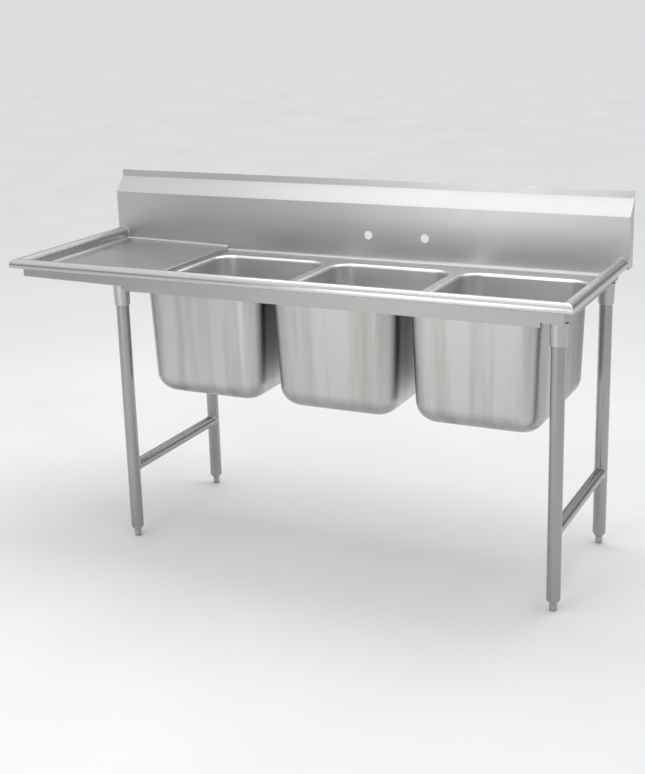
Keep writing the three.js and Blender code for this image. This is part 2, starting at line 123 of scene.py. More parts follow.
class Shape:
    """Points and faces in drawing coordinates."""

    def __init__(self):
        self.points = []
        self.faces = []

    def add(self, points):
        start = len(self.points)
        self.points.extend(points)
        return list(range(start, start + len(points)))

    def grid(self, rows, close_rows=False, close_columns=False):
        """Quads between rows of points; returns the rows of indices."""
        rows = [self.add(row) for row in rows]
        pairs = list(zip(rows, rows[1:]))
        if close_rows:
            pairs.append((rows[-1], rows[0]))
        for lower, upper in pairs:
            count = len(lower)
            for i in range(count if close_columns else count - 1):
                j = (i + 1) % count
                self.faces.append((lower[i], lower[j], upper[j], upper[i]))
        return rows

    def fan(self, loop, centre):
        middle = self.add([centre])[0]
        for i in range(len(loop)):
            self.faces.append((loop[i], loop[(i + 1) % len(loop)], middle))


def arc(cx, cy, radius, start, end, steps):
    """Points on a circle between two angles in degrees."""
    angles = [math.radians(start + (end - start) * i / steps) for i in range(steps + 1)]
    return [(cx + radius * math.cos(a), cy + radius * math.sin(a)) for a in angles]


def circle(cx, cy, radius, steps, turn=0.0):
    """Points all the way round from the angle turn. radius is a number or a function of the angle."""
    reach = radius if callable(radius) else lambda a: radius
    angles = [2 * math.pi * i / steps + turn for i in range(steps)]
    return [(cx + reach(a) * math.cos(a), cy + reach(a) * math.sin(a)) for a in angles]


def heading(path, i):
    """Direction of the path at its point i."""
    return (Vector(path[min(i + 1, len(path) - 1)]) - Vector(path[max(i - 1, 0)])).normalized()


def fillet(points, radius, steps=6):
    """An open 2-D path with its inner corners rounded."""
    result = [points[0]]
    for before, corner, after in zip(points, points[1:], points[2:]):
        a = Vector(before) - Vector(corner)
        b = Vector(after) - Vector(corner)
        la, lb = a.length, b.length
        a.normalize()
        b.normalize()
        half = a.angle(b) / 2
        run = min(radius / math.tan(half), 0.48 * la, 0.48 * lb)
        start = Vector(corner) + a * run
        end = Vector(corner) + b * run
        for i in range(steps + 1):
            t = i / steps
            p = start * (1 - t) ** 2 + Vector(corner) * 2 * t * (1 - t) + end * t * t
            result.append((p.x, p.y))
    result.append(points[-1])
    return result


def offset(points, distance):
    """The path moved sideways, to the right of its direction."""
    moved = []
    for i, p in enumerate(points):
        before = Vector(points[max(i - 1, 0)])
        after = Vector(points[min(i + 1, len(points) - 1)])
        p = Vector(p)
        first = (p - before).normalized() if i > 0 else (after - p).normalized()
        second = (after - p).normalized() if i < len(points) - 1 else first
        along = (first + second).normalized()
        side = Vector((along.y, -along.x))
        stretch = 1 / max(0.3, math.sqrt(max(1e-6, (1 + first.dot(second)) / 2)))
        moved.append((p.x + side.x * distance * stretch, p.y + side.y * distance * stretch))
    return moved


def polygon_reach(angle, radius, sides):
    """Distance from the centre to the edge of a regular polygon with corners at the radius."""
    half = math.pi / sides
    return radius * math.cos(half) / math.cos((angle % (2 * half)) - half)


def prism(low, high):
    """The closed space between two outlines of equal length."""
    shape = Shape()
    low = shape.add(low)
    high = shape.add(high)
    shape.faces += [tuple(reversed(low)), tuple(high)]
    for i in range(len(low)):
        j = (i + 1) % len(low)
        shape.faces.append((low[i], low[j], high[j], high[i]))
    return shape


def sweep_strip(face, thickness, stations, put):
    """A sheet of that thickness: the path face swept through the stations. put(u, v, s) gives the point."""
    shape = Shape()
    back = offset(face, thickness)
    rows = [[put(u, v, s) for u, v in face] + [put(u, v, s) for u, v in reversed(back)] for s in stations]
    rows = shape.grid(rows, close_columns=True)
    count = len(face)
    for row, flip in ((rows[0], False), (rows[-1], True)):
        for i in range(count - 1):
            quad = (row[i], row[i + 1], row[2 * count - 2 - i], row[2 * count - 1 - i])
            shape.faces.append(tuple(reversed(quad)) if flip else quad)
    return shape


def lathe(profile, cx, cy, steps, wobble=lambda a, z: 0.0):
    """Turns a closed profile of (radius, z), or one that starts and ends on the axis."""
    shape = Shape()
    on_axis = profile[0][0] < 1e-6
    ring = profile[1:-1] if on_axis else profile
    rows = [[(x, y, z) for x, y in circle(cx, cy, lambda a: radius + wobble(a, z), steps)]
            for radius, z in ring]
    rows = shape.grid(rows, close_rows=not on_axis, close_columns=True)
    if on_axis:
        shape.fan(rows[0], (cx, cy, profile[0][1]))
        shape.fan(rows[-1], (cx, cy, profile[-1][1]))
    return shape


def bead(path, normals, radius, seed, pitch=2.6, sides=8):
    """A weld bead with overlapping ripples along a 3-D path. normals point out of the joint."""
    shape = Shape()
    rows = []
    run = 0.0
    for i, p in enumerate(path):
        p = Vector(p)
        if i:
            run += (p - Vector(path[i - 1])).length
        along = heading(path, i)
        up = Vector(normals[i]).normalized()
        side = along.cross(up).normalized()
        swell = 1 + 0.18 * math.sin(2 * math.pi * run / pitch + 1.3 * math.sin(run * 0.21 + seed))
        swell *= 1 + 0.12 * noise.noise(Vector((run * 0.08, seed, 0.3)))
        if i in (0, len(path) - 1):
            swell *= 0.45
        row = []
        for k in range(sides):
            a = 2 * math.pi * k / sides
            row.append(tuple(p + up * radius * swell * math.cos(a) + side * radius * swell * math.sin(a)))
        rows.append(row)
    rows = shape.grid(rows, close_columns=True)
    shape.fan(rows[0], tuple(path[0]))
    shape.fan(rows[-1], tuple(path[-1]))
    return shape


def weld_points(bm):
    bmesh.ops.remove_doubles(bm, verts=bm.verts, dist=2e-6)
    bmesh.ops.dissolve_degenerate(bm, edges=bm.edges, dist=1e-7)


def turn_skin(bm, direction):
    """Reverses the whole skin if most of its area faces away from the direction."""
    bm.normal_update()
    towards = Vector(direction)
    if sum(f.normal.dot(towards) * f.calc_area() for f in bm.faces) < 0:
        bmesh.ops.reverse_faces(bm, faces=bm.faces)


def thicken(bm, thickness):
    """Turns an open skin into a closed sheet, adding the thickness behind its face normals."""
    bm.normal_update()
    front = list(bm.faces)
    rims = [e for e in bm.edges if e.is_boundary]
    twin = {}
    for v in list(bm.verts):
        twin[v] = bm.verts.new(v.co - v.normal * thickness * MM * min(v.calc_shell_factor(), 1.6))
    for f in front:
        bm.faces.new([twin[v] for v in reversed(f.verts)])
    for e in rims:
        loop = e.link_loops[0]
        a = loop.vert
        b = loop.link_loop_next.vert
        bm.faces.new((b, a, twin[a], twin[b]))


def to_bmesh(shape):
    """A bmesh of the shape; a face that repeats another or has no area is left out."""
    bm = bmesh.new()
    verts = [bm.verts.new(place(*p)) for p in shape.points]
    for face in shape.faces:
        if len(set(face)) > 2:
            try:
                bm.faces.new([verts[i] for i in face])
            except ValueError:
                continue
    return bm


def add_object(name, data):
    added = bpy.data.objects.new(name, data)
    bpy.context.scene.collection.objects.link(added)
    return added


def add_mesh(name, bm, material):
    mesh = bpy.data.meshes.new(name)
    bm.to_mesh(mesh)
    bm.free()
    mesh.materials.append(material)
    return add_object(name, mesh)


def finish_piece(name, bm, material, body, nodes=(), angle=34, edge=0.0, recalc=True):
    """Links the mesh as a smooth shaded piece that rides on a body and stands for CAD nodes."""
    if recalc:
        weld_points(bm)
        bmesh.ops.recalc_face_normals(bm, faces=bm.faces)
    piece = add_mesh(name, bm, material)
    piece.data.shade_smooth()
    piece.data.set_sharp_from_angle(angle=math.radians(angle))
    if edge:
        bevel = piece.modifiers.new("soft_edges", "BEVEL")
        bevel.width = edge * MM
        bevel.segments = 2
        bevel.limit_method = "ANGLE"
        bevel.angle_limit = math.radians(50)
        bevel.harden_normals = False
    normals = piece.modifiers.new("flat_faces", "WEIGHTED_NORMAL")
    normals.keep_sharp = True
    normals.weight = 60
    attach(piece, body)
    if nodes:
        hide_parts(*nodes)


def make(name, shape, material, slot, body="sink", nodes=(), angle=34, edge=0.0, skin=0.0):
    """Makes a piece from a closed shape, or from an open one that gets the thickness skin."""
    bm = to_bmesh(shape)
    if skin:
        weld_points(bm)
        bmesh.ops.recalc_face_normals(bm, faces=bm.faces)
        thicken(bm, skin)
    finish_piece(name, bm, material, body, nodes, angle, edge, recalc=not skin)


def make_sheet(name, bm, outwards, material, edge=0.0):
    """Thickens an open skin that faces outwards, as the piece for the CAD node of the same name."""
    turn_skin(bm, outwards)
    thicken(bm, SHEET)
    finish_piece(name, bm, material, "sink", [name], edge=edge, recalc=False)


def make_node(name, shape, material, slot, **settings):
    """Makes the piece that stands for the CAD node of the same name."""
    make(name, shape, material, slot, nodes=[name], **settings)


# ---------- materials ----------

class Nodes:
    """Builds the node tree of a material or of the world."""

    def __init__(self, owner):
        owner.use_nodes = True
        self.owner = owner
        self.tree = owner.node_tree

    def new(self, kind, feeds=None, **settings):
        """A new node. feeds gives its inputs: constants, or results of other nodes."""
        node = self.tree.nodes.new(kind)
        for key, value in settings.items():
            setattr(node, key, value)
        for key, value in (feeds or {}).items():
            self.feed(node.inputs[key], value)
        return node

    def feed(self, socket, value):
        if isinstance(value, bpy.types.NodeSocket):
            self.tree.links.new(value, socket)
        elif socket.type == "RGBA":
            socket.default_value = (*value, 1.0)
        else:
            socket.default_value = value

    def noise(self, scale, detail=3.0, rough=0.55, stretch=(1, 1, 1), shift=(0, 0, 0)):
        place_in = self.new("ShaderNodeTexCoord").outputs["Object"]
        mapping = self.new("ShaderNodeMapping", {"Vector": place_in, "Location": shift, "Scale": stretch})
        feeds = {"Vector": mapping.outputs["Vector"], "Scale": scale, "Detail": detail, "Roughness": rough}
        return self.new("ShaderNodeTexNoise", feeds).outputs["Fac"]

    def span(self, value, from_low, from_high, to_low, to_high):
        feeds = {"Value": value, "From Min": from_low, "From Max": from_high,
                 "To Min": to_low, "To Max": to_high}
        return self.new("ShaderNodeMapRange", feeds, clamp=True).outputs["Result"]

    def math(self, operation, a, b):
        return self.new("ShaderNodeMath", {0: a, 1: b}, operation=operation).outputs["Value"]

    def blend(self, a, b, share):
        """share of the value a with the rest from b."""
        return self.math("ADD", self.math("MULTIPLY", a, share), self.math("MULTIPLY", b, 1 - share))

    def mix(self, factor, a, b):
        return self.new("ShaderNodeMix", {"Factor": factor, 6: a, 7: b}, data_type="RGBA").outputs[2]

    def bump(self, height, strength, distance, below=None):
        feeds = {"Height": height, "Strength": strength, "Distance": distance}
        if below is not None:
            feeds["Normal"] = below
        return self.new("ShaderNodeBump", feeds).outputs["Normal"]

    def finish(self, colour, rough, normal, metal=1.0):
        """Feeds the shader and returns the material."""
        feeds = {"Base Color": colour, "Roughness": rough, "Normal": normal, "Metallic": metal}
        for name, value in feeds.items():
            self.feed(self.tree.nodes["Principled BSDF"].inputs[name], value)
        return self.owner


def warm_grey(value):
    return value, value - 0.003, value - 0.01


def steel(name, grain, light, dark, rough, shift, waves=0.05, drawn=0.0):
    """Brushed stainless steel. grain is how finely the strokes repeat along x, y and z.

    drawn adds upright brownish streaks, a painted reflection laid out at random, and a painted light inside
    the bowls: a lighter base colour on their inner side.
    """
    n = Nodes(bpy.data.materials.new(name))
    move = (shift, shift * 0.7, shift * 1.3)
    fine = n.noise(1.0, 2.0, 0.6, grain, move)
    broad = n.noise(1.0, 2.0, 0.5, tuple(g * 0.3 for g in grain), move)
    strokes = n.blend(fine, broad, 0.6)
    cloud = n.noise(3.4, 3.0, 0.55, (1, 1, 1), move)
    smudge = n.noise(13.0, 5.0, 0.7, (1, 1, 1.2), (3.1 + shift, 0.2, 1.7))
    tone = n.blend(n.span(strokes, 0.34, 0.66, 0, 1), n.span(cloud, 0.3, 0.7, 0, 1), 0.6)
    colour = n.mix(tone, dark, light)
    if drawn:
        # Painted reflection: upright brownish streaks, laid out at random by noise, stand in for the dark
        # streaks the bowl walls reflect.
        reflection_streaks = n.noise(1.0, 3.0, 0.55, (17, 17, 0.9), move)
        colour = n.mix(n.span(reflection_streaks, 0.46, 0.72, 0, drawn), colour, (0.30, 0.285, 0.26))
        # Painted light: a lighter base colour on the inner side of the bowls stands in for light reaching
        # into them.
        colour = n.mix(painted_light_bowl_inside(n), colour, (0.82, 0.818, 0.812))
    spread = n.span(strokes, 0.34, 0.66, rough - 0.03, rough + 0.03)
    stains = n.span(smudge, 0.46, 0.74, -0.01, 0.03)
    drift = n.span(cloud, 0.3, 0.7, -0.015, 0.015)
    worn = n.math("ADD", n.math("ADD", spread, stains), drift)
    swell = n.noise(4.5, 1.0, 0.4, (1, 1, 1), (shift, 1.0, 2.0))
    below = n.bump(swell, waves, 0.004)
    return n.finish(colour, worn, n.bump(fine, 0.35, 0.00001, below))


def painted_light_bowl_inside(n):
    """1 on the inner side of the three bowls, where the painted light goes, 0 on their outer side."""
    geometry = n.new("ShaderNodeNewGeometry").outputs
    spot = n.new("ShaderNodeSeparateXYZ", {0: geometry["Position"]})
    face = n.new("ShaderNodeSeparateXYZ", {0: geometry["True Normal"]})
    first = place(*bowl_place("left"), 0)
    pitch = (bowl_place("middle")[0] - bowl_place("left")[0]) * MM
    turns = n.math("MULTIPLY", n.math("SUBTRACT", spot.outputs[0], first[0]), 1 / pitch)
    turns = n.math("FRACT", n.math("ADD", turns, 10.5), 0.0)
    across = n.math("MULTIPLY", n.math("SUBTRACT", turns, 0.5), pitch)
    along = n.math("SUBTRACT", spot.outputs[1], first[1])
    outwards = n.math("ADD", n.math("MULTIPLY", across, face.outputs[0]),
                      n.math("MULTIPLY", along, face.outputs[1]))
    return n.math("GREATER_THAN", n.math("MULTIPLY", face.outputs[2], 0.2), outwards)


def weld_steel(name):
    """Bare weld metal: bright ripples with straw and blue-grey heat tint in the hollows."""
    n = Nodes(bpy.data.materials.new(name))
    ripples = n.noise(420.0, 3.0, 0.6)
    patches = n.noise(70.0, 3.0, 0.6)
    tint = n.mix(n.span(patches, 0.4, 0.62, 0, 1), (0.82, 0.81, 0.795), (0.70, 0.67, 0.63))
    colour = n.mix(n.span(ripples, 0.35, 0.6, 0, 0.4), tint, (0.44, 0.45, 0.48))
    return n.finish(colour, n.span(ripples, 0.3, 0.7, 0.2, 0.36), n.bump(ripples, 0.5, 0.0003))


def cast_steel(name, light, dark, rough):
    """Cast or machined fittings: fine all-over texture with rubbed, smoother patches."""
    n = Nodes(bpy.data.materials.new(name))
    grain = n.noise(620.0, 4.0, 0.65)
    patches = n.noise(46.0, 4.0, 0.6, (1, 1, 0.6))
    spots = n.noise(190.0, 2.0, 0.5)
    tone = n.blend(grain, patches, 0.45)
    colour = n.mix(n.span(tone, 0.38, 0.62, 0, 1), dark, light)
    worn = n.span(patches, 0.36, 0.66, rough - 0.09, rough + 0.1)
    worn = n.math("ADD", worn, n.span(spots, 0.5, 0.7, 0.0, 0.07))
    return n.finish(colour, worn, n.bump(grain, 0.4, 0.00015, n.bump(spots, 0.35, 0.0004)))


def rubber(name):
    """Black rubber with a faint grey bloom."""
    n = Nodes(bpy.data.materials.new(name))
    speck = n.noise(900.0, 3.0, 0.6)
    bloom = n.noise(60.0, 3.0, 0.6)
    colour = n.mix(n.span(bloom, 0.4, 0.7, 0, 1), (0.012, 0.012, 0.013), (0.045, 0.044, 0.042))
    return n.finish(colour, n.span(speck, 0.3, 0.7, 0.62, 0.85), n.bump(speck, 0.5, 0.0003), metal=0.0)


ALONG_X = (3.0, 620.0, 620.0)
ALONG_Y = (620.0, 3.0, 620.0)
AROUND = (7.0, 7.0, 560.0)
UPRIGHT = (640.0, 640.0, 4.0)
LIGHT = (0.60, 0.598, 0.593)
DARK = (0.555, 0.552, 0.546)
# Painted shade: the skirts are the same steel as the rims, given darker tones for the shade they hang in
# under the rolls.
SKIRT_SHADE_TONES = warm_grey(0.43), warm_grey(0.39)
# Painted shade: the legs and rails are the same brushed steel, given darker tones that stand in for the
# darker surroundings they reflect.
TUBE_SHADE_TONES = warm_grey(0.40), warm_grey(0.35)

deck_steel = steel("brushed_deck_steel", ALONG_X, LIGHT, DARK, 0.33, 1.0)
board_steel = steel("brushed_drainboard_steel", ALONG_X, LIGHT, DARK, 0.31, 2.0)
splash_steel = steel("brushed_splash_steel", ALONG_X, LIGHT, DARK, 0.38, 3.0)
front_roll_steel = steel("polished_front_roll_steel", ALONG_X, LIGHT, DARK, 0.26, 4.0)
side_roll_steel = steel("polished_side_roll_steel", ALONG_Y, LIGHT, DARK, 0.26, 5.0)
skirt_steel = steel("brushed_skirt_steel_painted_shade", ALONG_X, *SKIRT_SHADE_TONES, 0.40, 6.0)
side_skirt_steel = steel("brushed_side_skirt_steel_painted_shade", ALONG_Y, *SKIRT_SHADE_TONES, 0.40, 7.0)
bowl_steel = steel("satin_bowl_steel_painted_light", AROUND, warm_grey(0.56), warm_grey(0.51), 0.33, 8.0, 0.06, 0.55)
leg_steel = steel("brushed_leg_steel_painted_shade", UPRIGHT, *TUBE_SHADE_TONES, 0.25, 9.0)
rail_steel = steel("brushed_rail_steel_painted_shade", ALONG_Y, *TUBE_SHADE_TONES, 0.25, 10.0)
under_steel = steel("plain_under_steel", ALONG_Y, warm_grey(0.44), warm_grey(0.39), 0.40, 11.0)
socket_steel = cast_steel("cast_socket_steel", warm_grey(0.56), (0.47, 0.465, 0.455), 0.34)
foot_steel = cast_steel("machined_foot_steel", warm_grey(0.48), warm_grey(0.39), 0.30)
drain_steel = cast_steel("polished_drain_steel", warm_grey(0.68), warm_grey(0.58), 0.17)
screw_steel = cast_steel("dark_screw_steel", (0.20, 0.20, 0.21), (0.11, 0.11, 0.115), 0.42)
weld_metal = weld_steel("weld_metal")
gasket_rubber = rubber("gasket_rubber")


# ---------- rolled rims ----------

def board_top(x):
    slope = (BOARD_LEFT_TOP - BOARD_RIGHT_TOP) / (BOARD_RIGHT - ROLL_WIDTH)
    return BOARD_LEFT_TOP - (x - ROLL_WIDTH) * slope


HEM_RADIUS = 3.4
HEM_RETURN = 9.0


def roll_path(wall_bottom):
    """(inwards, height) of the roll's outer skin, from the hem under the lip to the foot of the wall."""
    spring = RIM_TOP - ROLL_RADIUS
    path = fillet([(HEM_RETURN, RIM_LIP), (0.0, RIM_LIP), (0.0, spring - 1)], HEM_RADIUS, 6)
    path += arc(ROLL_RADIUS, spring, ROLL_RADIUS, 180, 0, 36)
    for z in (spring - 10, spring - 20):
        path.append((ROLL_WIDTH, z))
    path.append((ROLL_WIDTH, wall_bottom))
    return path


def stations(start, end, step, extra=()):
    count = max(1, round((end - start) / step))
    values = [start + (end - start) * i / count for i in range(count + 1)]
    return sorted(set(values) | set(extra))


def waviness(s, seed, size=0.16):
    long_wave = noise.noise(Vector((s * 0.011, seed, 0.5)))
    short_wave = noise.noise(Vector((s * 0.04, seed, 2)))
    return size * long_wave + 0.3 * size * short_wave


def rolled_rim(name, length, to_point, material, bottom_at, mitres, extra=()):
    """A roll drawn along s from 0 to length; a mitred end is cut back by the distance inwards.

    mitres says which of the two ends are mitred, and a station "start" or "end" lies on that mitre.
    """
    inner = ROLL_WIDTH + 2
    start = 0.0 if not mitres[0] else inner
    end = length if not mitres[1] else length - inner
    marks = stations(start, end, 14, extra)
    low = min(bottom_at(s) for s in marks)
    path = roll_path(low)
    mitre_gap = 0.06

    def put(u, v, s):
        if s == "start":
            s = u + mitre_gap
        elif s == "end":
            s = length - u - mitre_gap
        foot = low + 0.01
        if v < foot or (v < foot + SHEET and u > ROLL_WIDTH - 3):
            v = bottom_at(s)
        dip = waviness(s, 3.7 if name == "rim_front" else 8.1)
        return to_point(u + dip * 0.5, v + dip, s)

    steps = (["start"] if mitres[0] else []) + marks + (["end"] if mitres[1] else [])
    make_node(name, sweep_strip(path, SHEET, steps, put), material, "top_steel", edge=0.25)


def front_bottom(s):
    return board_top(s) - SHEET - 0.4 if s < BOARD_RIGHT else DECK_TOP - SHEET


side_length = SPLASH_Y - GAP
rolled_rim("rim_front", LENGTH, lambda u, v, s: (s, u, v), front_roll_steel, front_bottom, (True, True),
           extra=(BOARD_RIGHT - 0.02, BOARD_RIGHT + 0.02))
rolled_rim("rim_left", side_length, lambda u, v, s: (u, s, v), side_roll_steel,
           lambda s: BOARD_LEFT_TOP - SHEET, (True, False))
rolled_rim("rim_right", side_length, lambda u, v, s: (LENGTH - u, s, v), side_roll_steel,
           lambda s: DECK_TOP - SHEET, (True, False))


def roll_bead(name, to_point):
    """Weld bead over a side roll and down its inner wall, where they meet the backsplash."""
    spring = RIM_TOP - ROLL_RADIUS
    outline = [(0.0, RIM_LIP + z) for z in (2.0, 4.0, 6.0)]
    outline += arc(ROLL_RADIUS, spring, ROLL_RADIUS, 180, 0, 60)
    outline += [(ROLL_WIDTH, RIM_LIP + z) for z in (5.5, 3.0, 0.5, -2.0, -4.5, -7.0)]
    path = []
    normals = []
    for u, v in outline:
        away = Vector((u - ROLL_RADIUS, 0, max(v - spring, 0.0)))
        path.append(to_point(u, v, SPLASH_Y - 1.0))
        side = to_point(u + away.x, v + away.z, SPLASH_Y - 1.0 - ROLL_RADIUS * 0.8)
        normals.append(Vector(side) - Vector(path[-1]))
    make(name, bead(path, normals, 2.3, len(name)), weld_metal, "top_steel")


# Keeps the bead within the length of the sink.
ROLL_BEAD_IN = 2.4
roll_bead("weld_roll_left", lambda u, v, s: (max(u, ROLL_BEAD_IN), s, v))
roll_bead("weld_roll_right", lambda u, v, s: (LENGTH - max(u, ROLL_BEAD_IN), s, v))


HALF = math.sqrt(0.5)


def mitre_seam(name, to_point):
    """The ground-down weld over the mitre of two rolls."""
    shape = Shape()
    path = roll_path(BOARD_LEFT_TOP)[7:]
    rows = []
    for i, (u, v) in enumerate(path):
        along = heading(path, i)
        out = Vector((-along.y, along.x))
        row = []
        for k in range(7):
            across = (k - 3) / 3
            width = 1.5 + 0.35 * noise.noise(Vector((i * 0.35, k * 0.01, 4.4)))
            rise = 0.14 * (1 - across * across) - 0.05
            reach = across * min(width, max(u / HALF, 0.3))
            row.append(to_point(u + out.x * rise, v + out.y * rise, u, reach))
        rows.append(row)
    shape.grid(rows)
    make(name, shape, weld_metal, "top_steel", skin=0.4)


mitre_seam("weld_mitre_left", lambda u, v, s, w: (u + w * HALF, s - w * HALF, v))
mitre_seam("weld_mitre_right", lambda u, v, s, w: (LENGTH - u - w * HALF, s - w * HALF, v))


# ---------- deck, drainboard and backsplash ----------

COVE = 10.0
DECK_ARC_STEPS = 14


def cove_rise(distance):
    """Height of the cove above the sheet at a distance from the wall."""
    if distance >= COVE:
        return 0.0
    return COVE - math.sqrt(max(0.0, COVE * COVE - (COVE - distance) ** 2))


def rounded_rectangle(half_x, half_y, radius, arc_steps, side_x, side_y):
    """Counter-clockwise outline round the origin with extra points along the straight sides."""
    points = []
    corners = [(1, 1, 0), (-1, 1, 90), (-1, -1, 180), (1, -1, 270)]
    for i, (sx, sy, start) in enumerate(corners):
        bend = arc(sx * (half_x - radius), sy * (half_y - radius), radius, start, start + 90, arc_steps)
        points += bend
        tx, ty, angle = corners[(i + 1) % 4]
        following = (tx * (half_x - radius) + radius * math.cos(math.radians(angle)),
                     ty * (half_y - radius) + radius * math.sin(math.radians(angle)))
        extra = side_x if i % 2 == 0 else side_y
        for k in range(1, extra):
            t = k / extra
            points.append(tuple(a * (1 - t) + b * t for a, b in zip(bend[-1], following)))
    return points


BOWL_HALF_X = 203.0
BOWL_HALF_Y = 254.0
BOWL_CORNER_RADIUS = 62.0
LIP_RADIUS = 10.0
BOWL_SIDE_X = 10
BOWL_SIDE_Y = 14


def bowl_opening(side):
    cx, cy = bowl_place(side)
    outline = rounded_rectangle(BOWL_HALF_X + LIP_RADIUS, BOWL_HALF_Y + LIP_RADIUS,
                                BOWL_CORNER_RADIUS + LIP_RADIUS, DECK_ARC_STEPS, BOWL_SIDE_X, BOWL_SIDE_Y)
    return [(cx + x, cy + y) for x, y in outline]


def skin_rows(bm, rows, closed=False, skip=()):
    """Quads between rows of bmesh points, apart from each (level, i) in skip."""
    for level, (a, b) in enumerate(zip(rows, rows[1:])):
        for i in range(len(a) if closed else len(a) - 1):
            if (level, i) not in skip:
                j = (i + 1) % len(a)
                bm.faces.new((a[i], a[j], b[j], b[i]))


def fill_plane(bm, loops, normal):
    """Fills the region inside the first closed loop and outside the others, and turns all faces alike."""
    edges = []
    for loop in loops:
        for i in range(len(loop)):
            a, b = loop[i], loop[(i + 1) % len(loop)]
            edges.append(bm.edges.get((a, b)) or bm.edges.new((a, b)))
    bmesh.ops.triangle_fill(bm, use_beauty=True, use_dissolve=False, edges=edges, normal=normal)
    bmesh.ops.recalc_face_normals(bm, faces=bm.faces)


def deck():
    """Flat deck with three openings, turned up in a cove at the front, right and rear."""
    bm = bmesh.new()
    x0, x1 = DECK_X0, LENGTH - ROLL_WIDTH + 0.02
    y0, y1 = ROLL_WIDTH - 0.02, SPLASH_Y + 0.02
    rings = []
    for i in range(9):
        turn = math.radians(90 - 90 * i / 8)
        inset = COVE - COVE * math.sin(turn)
        z = DECK_TOP + COVE - COVE * math.cos(turn)
        radius = COVE + 6 - inset
        ring = [(x0, y0 + inset)]
        ring += arc(x1 - inset - radius, y0 + inset + radius, radius, -90, 0, 8)
        ring += arc(x1 - inset - radius, y1 - inset - radius, radius, 0, 90, 8)
        ring += [(x0, y1 - inset)]
        rings.append([bm.verts.new(place(x, y, z)) for x, y in ring])
    skin_rows(bm, rings)
    openings = [[bm.verts.new(place(x, y, DECK_TOP)) for x, y in bowl_opening(side)] for side in SIDES]
    fill_plane(bm, [rings[-1], *openings], (0, 0, 1))
    make_sheet("deck_plate", bm, (0, 0, 1), deck_steel)


def drainboard():
    """Pitched board, coved up to the rims and splash, and rounded over down to the deck."""
    lip = 4.0
    turns = [math.radians(90 - 90 * i / 8) for i in range(9)]
    distances = [COVE - COVE * math.sin(t) for t in turns]
    left = ROLL_WIDTH - 0.02
    xs = [left + d for d in distances] + stations(left + COVE + 12, BOARD_RIGHT - lip, 24)
    front, rear = ROLL_WIDTH - 0.02, SPLASH_Y + 0.02
    ys = [front + d for d in distances] + stations(front + COVE + 16, rear - COVE - 16, 24)
    ys += [rear - d for d in reversed(distances)]

    def rise(x, y):
        return max(cove_rise(x - left), cove_rise(y - front), cove_rise(rear - y))

    def dip(x, y):
        edge = min(x - left, BOARD_RIGHT - x, y - front, rear - y)
        return 0.35 * min(1.0, edge / 60) * noise.noise(Vector((x * 0.006, y * 0.006, 1.2)))

    shape = Shape()
    rows = [[(x, y, board_top(x) + rise(x, y) + dip(x, y)) for y in ys] for x in xs]
    for i in range(1, 8):
        a = math.radians(90 * i / 7)
        x = BOARD_RIGHT - lip + lip * math.sin(a)
        z = board_top(BOARD_RIGHT - lip) - lip + lip * math.cos(a)
        rows.append([(x, y, z + rise(x, y)) for y in ys])
    rows.append([(BOARD_RIGHT, y, DECK_TOP + 0.05) for y in ys])
    shape.grid(rows)
    bm = to_bmesh(shape)
    weld_points(bm)
    make_sheet("drainboard", bm, (0, 0, 1), board_steel)


FAUCET_HALF_SPACING = 101.6
FAUCET_HOLE_RADIUS = 14.3


def splash_holes():
    """Centres of the two faucet holes, either side of the faucet mount."""
    seat = next(m for m in frame["record"]["mounts"] if m["name"] == "faucet_seat")
    x = (seat["pos_m"][0] - ORIGIN.x) / MM
    z = seat["pos_m"][2] / MM
    return [(x - FAUCET_HALF_SPACING, z), (x + FAUCET_HALF_SPACING, z)]


def backsplash():
    """Upright face with two faucet holes, leaning ledge and upright top edge, in one bent sheet."""
    bend = 3.2
    bm = bmesh.new()
    xs = stations(0.0, LENGTH, 47)
    notch = ROLL_WIDTH - 2
    path = fillet(
        [(SPLASH_Y, SPLASH_FACE_TOP - 20), (SPLASH_Y, SPLASH_FACE_TOP),
         (DEPTH - SHEET, SPLASH_BEND_TOP), (DEPTH - SHEET, SPLASH_TOP)], bend, 8)
    rows = [[bm.verts.new(place(x, y, z)) for x in xs] for y, z in path]
    skin_rows(bm, rows)
    foot = DECK_TOP - SHEET
    outline = [(LENGTH, SPLASH_END_BOTTOM), (LENGTH - notch, SPLASH_END_BOTTOM), (LENGTH - notch, foot),
               (notch, foot), (notch, SPLASH_END_BOTTOM), (0.0, SPLASH_END_BOTTOM)]
    border = rows[0] + [bm.verts.new(place(x, SPLASH_Y, z)) for x, z in outline]
    holes = []
    for x, z in splash_holes():
        ring = circle(x, z, FAUCET_HOLE_RADIUS, 48)
        holes.append([bm.verts.new(place(px, SPLASH_Y, pz)) for px, pz in ring])
    fill_plane(bm, [border, *holes], (0, -1, 0))
    make_sheet("backsplash", bm, (0, -1, 0), splash_steel, edge=0.35)


def splash_end(name, inner_x, outer_x):
    """Closing plate at one end of the backsplash with a fillet weld down its front joint."""
    _, _, front, _, bottom, _ = drawing_box(name)
    outline = [(front, bottom), (DEPTH, bottom), (DEPTH, SPLASH_BEND_TOP - 1.2),
               (front, SPLASH_FACE_TOP - 0.9)]
    plate = prism([(outer_x, y, z) for y, z in outline], [(inner_x, y, z) for y, z in outline])
    make_node(name, plate, splash_steel, "splash_steel", edge=0.35)
    inwards = 1 if inner_x > outer_x else -1
    x = outer_x + inwards * 1.25
    steps = 46
    path = [(x, front + 0.7 + (DEPTH - 3 - front) * t / steps,
             SPLASH_FACE_TOP - 1.2 + (SPLASH_BEND_TOP - SPLASH_FACE_TOP - 3) * t / steps)
            for t in range(steps + 1)]
    run = bead(path, [(-inwards, 0.35, -0.6)] * len(path), 0.95, 5, pitch=2.2, sides=6)
    make(name + "_weld", run, weld_metal, "splash_steel")


deck()
drainboard()
backsplash()
splash_end("splash_cap_left", SHEET, 0.0)
splash_end("splash_cap_right", LENGTH - SHEET, LENGTH)


# ---------- skirts ----------

